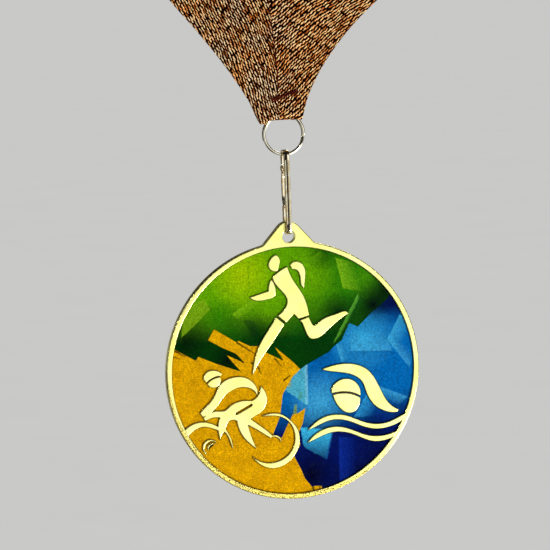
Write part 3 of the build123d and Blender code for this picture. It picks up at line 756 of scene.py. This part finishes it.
def arm_place(side, along, across):
    """x and height of a point of one arm's flat face; side is 1 for the wearer's left arm."""
    x = ARM_START_X + along * ARM_X + across * ARM_Z
    return side * x, ARM_START_H + along * ARM_Z - across * ARM_X


def arm_measure(side, x, height):
    """How far along and across its arm a point is: the opposite of arm_place."""
    run, rise = side * x - ARM_START_X, height - ARM_START_H
    return run * ARM_X + rise * ARM_Z, run * ARM_Z - rise * ARM_X


def edge_shares(count):
    """Steps across the strip from 0 to 1, closer together near both edges."""
    even = [i / count for i in range(count + 1)]
    return sorted(set(even + [0.006, 0.016, 0.03, 0.97, 0.984, 0.994]))


SHARES = edge_shares(36)
FOOT_ROWS = 24
ARM_STEP = 1.4
SHOULDER_ROWS = 24
NAPE_ROWS = 90


def half_rows(side):
    """One half of the ribbon from its foot to the nape: rows of (point, normal, across, along)."""
    rows = []
    outer_foot = arm_measure(1, arm_half_w(CREASE_H), CREASE_H)[0]
    crotch_along = arm_measure(1, 0.0, CROTCH_H)[0]
    front = Vector((0, -1, 0))
    for i in range(FOOT_ROWS):
        share = i / FOOT_ROWS
        height = CREASE_H + (CROTCH_H - CREASE_H) * share
        inner = (0.0, height)
        outer = arm_place(side, outer_foot + (crotch_along - outer_foot) * share, RIBBON_W / 2)
        row = []
        for t in SHARES:
            x, h = (a + (b - a) * t for a, b in zip(inner, outer))
            along, across = arm_measure(side, x, h)
            row.append((Vector((hang(x, h), 0, h)), front, across, along))
        rows.append(row)
    count = round((ARM_L - crotch_along) / ARM_STEP)
    for i in range(count + 1):
        along = crotch_along + (ARM_L - crotch_along) * i / count
        row = []
        for t in SHARES:
            across = RIBBON_W * (t - 0.5)
            x, h = arm_place(side, along, across)
            row.append((Vector((hang(x, h), 0, h)), front, across, along))
        rows.append(row)
    for i in range(1, SHOULDER_ROWS + 1):
        turn = radians(90 * i / SHOULDER_ROWS)
        rise, back = SHOULDER_R * sin(turn), SHOULDER_R * (1 - cos(turn))
        centre = Vector((ARM_END_X + rise * ARM_X, back, ARM_END_H + rise * ARM_Z))
        ahead = Vector((cos(turn) * ARM_X, sin(turn), cos(turn) * ARM_Z))
        normal = Vector((sin(turn) * ARM_X, -cos(turn), sin(turn) * ARM_Z))
        rows.append(strip_row(side, centre, ahead, normal, ARM_L + SHOULDER_R * turn))
    loop_h = -DISC_Z
    gone = ARM_L + SHOULDER_R * pi / 2
    last = Vector((LOOP_HALF_W, SHOULDER_R, loop_h))
    for i in range(1, NAPE_ROWS + 1):
        turn = radians(90 * i / NAPE_ROWS)
        centre = Vector((LOOP_HALF_W * cos(turn), SHOULDER_R + NAPE_HALF_DEPTH * sin(turn), loop_h))
        gone += (centre - last).length
        last = centre
        ahead = Vector((-LOOP_HALF_W * sin(turn), NAPE_HALF_DEPTH * cos(turn), 0)).normalized()
        outward = Vector((NAPE_HALF_DEPTH * cos(turn), LOOP_HALF_W * sin(turn), 0)).normalized()
        lean = radians((90 - ARM_ANGLE) * (1 - sin(turn)) + NAPE_LEAN * sin(turn))
        normal = outward * cos(lean) + Vector((0, 0, sin(lean)))
        rows.append(strip_row(side, centre, ahead, normal, gone))
    return rows, gone


def strip_row(side, centre, ahead, normal, along):
    """A row straight across the ribbon from its inner edge to its outer edge."""
    outwards = ahead.cross(normal).normalized()
    mirror = Vector((side, 1, 1))
    row = []
    for t in SHARES:
        across = RIBBON_W * (t - 0.5)
        row.append(((centre + outwards * across) * mirror, normal * mirror, across, along))
    return row


def ripple(across, along):
    """The slow waves that limp ribbon keeps, in millimetres."""
    return 0.22 * sin(along / 9.0 + across / 11.0) + 0.12 * sin(along / 4.1 - across / 6.0 + 1.0)


# How far from each end the ripple grows in, and how far in from its edges the strip is thinner.
RIPPLE_GROWS = (4.0, 26.0)
EDGE_THIN = 0.25


def make_ribbon():
    rows, half_l = half_rows(-1)
    right, _ = half_rows(1)
    for row in right[-2::-1]:
        rows.append([(p, n, across, 2 * half_l - along) for p, n, across, along in row])
    columns = len(SHARES)
    front, back, uvs = [], [], []
    for row in rows:
        for t, (place, normal, across, along) in zip(SHARES, row):
            from_end = min(along, 2 * half_l - along)
            lift = ripple(across, along) * ease(from_end, *RIPPLE_GROWS)
            edge = min(t, 1 - t) * RIBBON_W
            thick = HALF_T * (0.45 + 0.55 * min(edge / EDGE_THIN, 1.0) ** 0.5)
            front.append(place + normal * (lift + thick))
            back.append(place + normal * (lift - thick))
            uvs.append((across / RIBBON_W + 0.5, (along + STRIP_MARGIN) / UV_SPAN))
    total = len(front)
    faces = []
    for r in range(len(rows) - 1):
        for c in range(columns - 1):
            a, b = r * columns + c, r * columns + c + 1
            faces.append((a, a + columns, b + columns, b))
            faces.append((a + total, b + total, b + columns + total, a + columns + total))
        for c, flip in ((0, False), (columns - 1, True)):
            a = r * columns + c
            wall = (a, a + total, a + columns + total, a + columns)
            faces.append(tuple(reversed(wall)) if flip else wall)
    for r, flip in ((0, False), (len(rows) - 1, True)):
        for c in range(columns - 1):
            a = r * columns + c
            wall = (a, a + 1, a + 1 + total, a + total)
            faces.append(tuple(reversed(wall)) if flip else wall)
    points = [at(p.x, p.z, p.y) for p in front + back]
    ribbon = make_piece("ribbon_strip", points, faces, WEAVE, "ribbon")
    set_uvs(ribbon, uvs + uvs)
    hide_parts("neck_ribbon")
    return ribbon, 2 * half_l


def set_uvs(piece, uvs):
    """Gives each corner of the mesh its vertex's place on the flat strip."""
    layer = piece.data.uv_layers.new(name="strip")
    corners = [uvs[loop.vertex_index] for loop in piece.data.loops]
    layer.data.foreach_set("uv", [value for corner in corners for value in corner])


# The fold: how far it stands out in front and behind, the swell of limp cloth, and its bottom bend.
FOLD_FRONT = 1.1
FOLD_BACK = 1.95
FOLD_SWELL = 0.15
FOLD_BEND = 1.0
FOLD_TOP_H = CREASE_H + 0.1
FOLD_STEPS = 8
BEND_STEPS = 12
FOLD_SHARES = [i / 12 for i in range(13)]
# The channel that the ring runs through: its middle, its radius, from turn to turn, room for the wire.
CHANNEL_H = 63.9
CHANNEL_R = 5.42
CHANNEL_PITCH = 0.83
CHANNEL_CLEAR = 0.16
CHANNEL_STEPS = 96


def fold_profile():
    """The fold seen from the side, down the front, round and up the back: (back, height, unrolled)."""
    profile = []
    front = -FOLD_FRONT - FOLD_SWELL
    low = FOLD_BOTTOM_H + FOLD_SWELL + FOLD_BEND
    for i in range(FOLD_STEPS + 1):
        share = i / FOLD_STEPS
        back = -HALF_T + (front + HALF_T) * ease(share, 0.0, 1.0)
        profile.append((back, FOLD_TOP_H - share * (FOLD_TOP_H - low)))
    middle, half = (FOLD_BACK + front) / 2, (FOLD_BACK - front) / 2
    for i in range(1, BEND_STEPS):
        turn = pi * i / BEND_STEPS
        profile.append((middle - half * cos(turn), low - FOLD_BEND * sin(turn)))
    for i in range(FOLD_STEPS + 1):
        share = i / FOLD_STEPS
        back = FOLD_BACK - (FOLD_BACK - HALF_T) * ease(share, 0.35, 1.0)
        profile.append((back, low + share * (FOLD_TOP_H - low)))
    unrolled, spent = [], 0.0
    for i, (back, height) in enumerate(profile):
        if i:
            spent += hypot(back - profile[i - 1][0], height - profile[i - 1][1])
        unrolled.append((back, height, FOLD_TOP_H - spent))
    return unrolled


def make_fold():
    """The gathered end: its ends droop at the bottom, its sides are rounded and the seam is drawn in."""
    profile = fold_profile()
    points, homes = [], []
    for back, height, unrolled in profile:
        half = arm_half_w(height)
        tip = 0.45 * ease(CREASE_H - height, 1.0, 5.0)
        for side in (-1, 1):
            for share in FOLD_SHARES[::side]:
                x = side * half * share
                round_off = 1 - 0.16 * ease(share, 0.86, 1.0)
                drop = tip * (ease(-x, 1.5, 5.8) * 2.0 + ease(x, 1.5, 5.8) * 0.5 - 0.5)
                dip = 0.14 * (1 - ease(abs(x), 0.0, 0.9))
                towards = 1 if back < HALF_T else -1
                deep = (back - HALF_T) * round_off + HALF_T + dip * towards
                points.append(Vector((hang(x, height), deep, height - drop)))
                homes.append((side, x, unrolled))
    columns = 2 * len(FOLD_SHARES)
    faces = []
    for r in range(len(profile) - 1):
        for c in range(columns - 1):
            if c == len(FOLD_SHARES) - 1:  # the two halves meet here and are welded below
                continue
            a = r * columns + c
            faces.append((a, a + columns, a + columns + 1, a + 1))
    last = len(profile) - 1
    for c in (0, columns - 1):
        rim = [r * columns + c for r in range(last + 1)]
        faces.append(tuple(rim if c else reversed(rim)))
    faces.append((*range(columns), *(last * columns + c for c in reversed(range(columns)))))
    placed = [at(p.x, p.z, p.y) for p in points]
    fold = make_piece("ribbon_loop", placed, faces, WEAVE, None)
    uvs = []
    for side, x, unrolled in homes:
        along, across = arm_measure(side, x, unrolled)
        if side > 0:
            along = STRIP_L - along
        uvs.append((across / RIBBON_W + 0.5, (along + STRIP_MARGIN) / UV_SPAN))
    set_uvs(fold, uvs)
    weld_points(fold)
    cut_channel(fold)
    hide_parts("ribbon_fold")
    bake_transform(fold)
    return fold


def cut_channel(fold):
    """Cuts the round channel that both turns of the ring run through, open along the fold's bottom."""
    half = WIRE_D / 2 + CHANNEL_CLEAR
    inner, outer = CHANNEL_R - half, CHANNEL_R + half
    near, far = -half, CHANNEL_PITCH + half
    section = ((inner, near), (outer, near), (outer, far), (inner, far))
    points, faces = [], []
    for i in range(CHANNEL_STEPS):
        turn = 2 * pi * i / CHANNEL_STEPS
        for radius, back in section:
            points.append(at(radius * sin(turn), CHANNEL_H + radius * cos(turn), back))
        here, after = 4 * i, 4 * ((i + 1) % CHANNEL_STEPS)
        for k in range(4):
            beside = (k + 1) % 4
            faces.append((here + k, here + beside, after + beside, after + k))
    mesh = bpy.data.meshes.new("channel")
    mesh.from_pydata([tuple(p) for p in points], [], faces)
    cutter = bpy.data.objects.new("channel", mesh)
    bpy.context.scene.collection.objects.link(cutter)
    weld_points(cutter)
    cut = fold.modifiers.new("channel", "BOOLEAN")
    cut.operation, cut.solver, cut.object = "DIFFERENCE", "EXACT", cutter
    bpy.context.view_layer.update()
    result = bpy.data.meshes.new_from_object(fold.evaluated_get(bpy.context.evaluated_depsgraph_get()))
    fold.modifiers.clear()
    fold.data = result
    bpy.data.objects.remove(cutter)
    bpy.data.meshes.remove(mesh)
    fold.data.set_sharp_from_angle(angle=radians(SHARP_FROM))


def weld_points(piece):
    """Joins points that coincide and turns the faces outwards. Corners keep their places on the strip."""
    work = bmesh.new()
    work.from_mesh(piece.data)
    bmesh.ops.remove_doubles(work, verts=work.verts, dist=0.001 * MM)
    bmesh.ops.recalc_face_normals(work, faces=work.faces)
    work.to_mesh(piece.data)
    work.free()


# How far the seam stays from the crease and from the crotch, its stitches, and the bar tack.
SEAM_CLEAR = 3.0
SEAM_STITCH_L = 1.5
SEAM_STITCH_STEP = 2.1
TACK_L = 7.4
TACK_HALF_W = 0.62
TACK_COUNT = 24
TACK_SLOPE = 18.0
TACK_LEAN = 0.16


def stitch(start, end, radius, bulge):
    """One sewn stitch, a short thread that goes in at both ends and stands out by bulge."""
    path = []
    for i in range(9):
        share = i / 8
        place = start.lerp(end, share)
        path.append(place + Vector((0, -bulge * sin(pi * share) ** 0.6, 0)))
    return tube(path, radius, 8)


def make_stitching():
    """Running stitches up the seam, and the bar tack across the crease."""
    parts = []
    height = CREASE_H + SEAM_CLEAR
    while height < CROTCH_H - SEAM_CLEAR:
        start, end = (Vector((seam_x(h), 0.1 - HALF_T, h)) for h in (height, height + SEAM_STITCH_L))
        parts.append(stitch(start, end, radius=0.14, bulge=0.22))
        height += SEAM_STITCH_STEP
    points, faces = join_parts(parts)
    placed = [at(p.x, p.z, p.y) for p in points]
    seam = make_piece("seam_stitches", placed, faces, THREAD, "ribbon")
    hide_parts("seam_thread")
    parts = []
    middle, slope = Vector((0.6, -HALF_T, CREASE_H + 1.3)), radians(TACK_SLOPE)
    run = Vector((cos(slope), 0, sin(slope)))
    up = Vector((-sin(slope), 0, cos(slope)))
    for i in range(TACK_COUNT):
        off = (i / (TACK_COUNT - 1) - 0.5) * TACK_L
        lean = TACK_LEAN if i % 2 else -TACK_LEAN
        start = middle + run * (off - lean) - up * TACK_HALF_W
        end = middle + run * (off + lean) + up * TACK_HALF_W
        parts.append(stitch(start, end, radius=0.15, bulge=0.16))
    points, faces = join_parts(parts)
    placed = [at(p.x, p.z, p.y) for p in points]
    tack = make_piece("tack_stitches", placed, faces, THREAD, "ribbon")
    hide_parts("bar_tack")


make_medal()
make_ring()
make_clip()
ribbon, strip_l = make_ribbon()
fold = make_fold()
make_stitching()

# --- Floor and light ----------------------------------------------------------------------------

FLOOR_DROP = 400.0
FLOOR_R = 60.0
FLOOR_SIDES = 64


def make_floor():
    mesh = bpy.data.meshes.new("floor")
    turns = [2 * pi * k / FLOOR_SIDES for k in range(FLOOR_SIDES)]
    rim = [(FLOOR_R * cos(turn), FLOOR_R * sin(turn), 0) for turn in turns]
    mesh.from_pydata(rim, [], [tuple(range(FLOOR_SIDES))])
    mesh.materials.append(floor_paint())
    floor = bpy.data.objects.new("floor", mesh)
    floor.location.z = cad_box[0].z - FLOOR_DROP * MM
    bpy.context.scene.collection.objects.link(floor)
    floor.visible_glossy = False


def area_light(name, azimuth, elevation, distance, size, power):
    """A soft square light aimed at the medal."""
    data = bpy.data.lights.new(name, "AREA")
    data.size = size
    data.energy = power
    lamp = bpy.data.objects.new(name, data)
    lamp.visible_camera = False
    lamp.location = at(0, 20) + aimed(azimuth, elevation) * distance
    lamp.rotation_euler = aimed(azimuth, elevation).to_track_quat("Z", "Y").to_euler()
    bpy.context.scene.collection.objects.link(lamp)


ROOM_GLOW = 0.62
# The screens that polished metal mirrors. Each has its azimuth and elevation, the angle out to which
# it is bright, the angle at which it has faded away, and its strength.
MIRRORED = (
    (27, -9, 17, 34, 1.15),
    (108, -39, 16, 34, 2.6),
    (62, -45, 10, 24, 1.8),
    (182, -26, 20, 45, 0.5),
    (-54, -8, 22, 34, 0.5),
    (74, -4, 14, 28, 0.4),
    (0, -62, 12, 26, 0.4),
)
MIRRORED_DARK = 0.02


def aimed(azimuth, elevation):
    """A direction from the medal. Azimuth 0 is straight in front of it and 90 is towards +X."""
    turn, rise = radians(azimuth), radians(elevation)
    return Vector((sin(turn) * cos(rise), -cos(turn) * cos(rise), sin(rise)))


def make_light():
    """A plain pale room with two lamps. Glossy rays see soft screens in a dark surround instead."""
    world = bpy.data.worlds.new("room")
    bpy.context.scene.world = world
    world.use_nodes = True
    world.cycles.sampling_method = "NONE"
    tree = world.node_tree
    direction = tree.nodes.new("ShaderNodeTexCoord").outputs["Generated"]
    seen = None
    for azimuth, elevation, inner, outer, strength in MIRRORED:
        dot = tree.nodes.new("ShaderNodeVectorMath")
        dot.operation = "DOT_PRODUCT"
        tree.links.new(direction, dot.inputs[0])
        dot.inputs[1].default_value = aimed(azimuth, elevation)
        ramp = tree.nodes.new("ShaderNodeMapRange")
        ramp.interpolation_type = "SMOOTHSTEP"
        tree.links.new(dot.outputs["Value"], ramp.inputs["Value"])
        ramp.inputs["From Min"].default_value = cos(radians(outer))
        ramp.inputs["From Max"].default_value = cos(radians(inner))
        ramp.inputs["To Min"].default_value = 0.0
        ramp.inputs["To Max"].default_value = strength
        together = tree.nodes.new("ShaderNodeMath")
        together.operation = "ADD"
        tree.links.new(ramp.outputs["Result"], together.inputs[0])
        together.inputs[1].default_value = MIRRORED_DARK
        if seen:
            tree.links.new(seen, together.inputs[1])
        seen = together.outputs[0]
    path = tree.nodes.new("ShaderNodeLightPath")
    mirrored = tree.nodes.new("ShaderNodeMix")
    mirrored.data_type = "RGBA"
    tree.links.new(path.outputs["Is Glossy Ray"], mirrored.inputs[0])
    mirrored.inputs[6].default_value = (ROOM_GLOW, ROOM_GLOW, ROOM_GLOW, 1.0)
    tree.links.new(seen, mirrored.inputs[7])
    tree.links.new(mirrored.outputs[2], tree.nodes["Background"].inputs["Color"])
    area_light("key", azimuth=42, elevation=-24, distance=0.9, size=0.22, power=6.0)
    area_light("rear", azimuth=150, elevation=30, distance=1.2, size=0.5, power=3.0)


make_floor()
make_light()
bpy.context.scene.view_settings.view_transform = "Standard"
